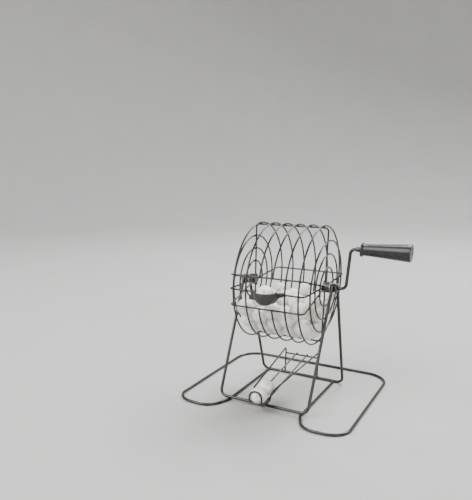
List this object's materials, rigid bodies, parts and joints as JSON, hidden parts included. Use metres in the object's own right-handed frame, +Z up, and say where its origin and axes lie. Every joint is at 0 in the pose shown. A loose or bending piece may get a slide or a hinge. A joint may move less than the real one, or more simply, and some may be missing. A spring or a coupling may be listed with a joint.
{
  "type": "bingo cage",
  "caption": "Wire drum of bingo balls on a bent-wire stand, turned by a side crank, with a scoop cup on the drum and a sloping wire run in front that holds the balls called.",
  "frame": {"origin": "on the table surface, under the middle of the drum's axle line", "axes": "+X along the axle towards the crank, +Y to the back, away from the ball run's stop, +Z up"},
  "size_m": [0.2685, 0.221, 0.2291],
  "materials": {
    "drum_wire": "satin black enamel on wire",
    "stand_wire": "satin black enamel on wire",
    "run_wire": "satin black enamel on wire",
    "crank_wire": "satin black enamel on wire",
    "hub": "satin black enamel",
    "zinc": "zinc plated",
    "grip_plastic": "satin moulded",
    "cup_plastic": "satin moulded",
    "ball_plastic": "smooth ivory, one number printed on each"
  },
  "bodies": {
    "stand": {"ball_pile": "ball_plastic", "base_loop": "stand_wire", "front_frame": "stand_wire", "guard_wire": "run_wire", "rear_frame": "stand_wire", "rear_tie": "run_wire", "run_rails": "run_wire", "stop_arch": "run_wire"},
    "drum": {"axle_cap": "zinc", "ball_cup": "cup_plastic", "cap_ring_inner_left": "drum_wire", "cap_ring_inner_right": "drum_wire", "cap_ring_middle_left": "drum_wire", "cap_ring_middle_right": "drum_wire", "cap_ring_outer_left": "drum_wire", "cap_ring_outer_right": "drum_wire", "crank": "crank_wire", "grip_collar": "crank_wire", "grip_retainer": "zinc", "hoop_1": "drum_wire", "hoop_2": "drum_wire", "hoop_3": "drum_wire", "hoop_4": "drum_wire", "hoop_5": "drum_wire", "hoop_6": "drum_wire", "hub_left": "hub", "hub_right": "hub", "rib_bottom": "drum_wire", "rib_front_left": "drum_wire", "rib_front_right": "drum_wire", "rib_lower_front": "drum_wire", "rib_rear": "drum_wire", "rib_top": "drum_wire", "rib_upper_front": "drum_wire", "stub_axle": "crank_wire", "washer_left": "zinc", "washer_right": "zinc"},
    "grip": {"grip": "grip_plastic", "grip_plug": "grip_plastic"},
    "cup_ball": {"cup_ball": "ball_plastic"},
    "run_ball_rear": {"run_ball_rear": "ball_plastic"},
    "run_ball_front": {"run_ball_front": "ball_plastic"}
  },
  "joints": [
    {"name": "drum_spin", "type": "hinge", "parent": "stand", "child": "drum", "pos_m": [0, 0, 0.153], "axis": [1, 0, 0], "continuous": true},
    {"name": "grip_spin", "type": "hinge", "parent": "drum", "child": "grip", "pos_m": [0.12, 0, 0.203], "axis": [1, 0, 0], "continuous": true},
    {"name": "cup_ball_lift", "type": "slide", "parent": "drum", "child": "cup_ball", "axis": [0, 0, 1], "range_m": [0, 0.03]},
    {"name": "run_ball_rear_roll", "type": "slide", "parent": "stand", "child": "run_ball_rear", "axis": [0, 0.9914, 0.1305], "range_m": [0, 0.11]},
    {"name": "run_ball_front_roll", "type": "slide", "parent": "stand", "child": "run_ball_front", "axis": [0, 0.9914, 0.1305], "range_m": [0, 0.11]}
  ],
  "couplings": [
    {"joint": "run_ball_front_roll", "follows": "run_ball_rear_roll", "ratio": 1}
  ]
}
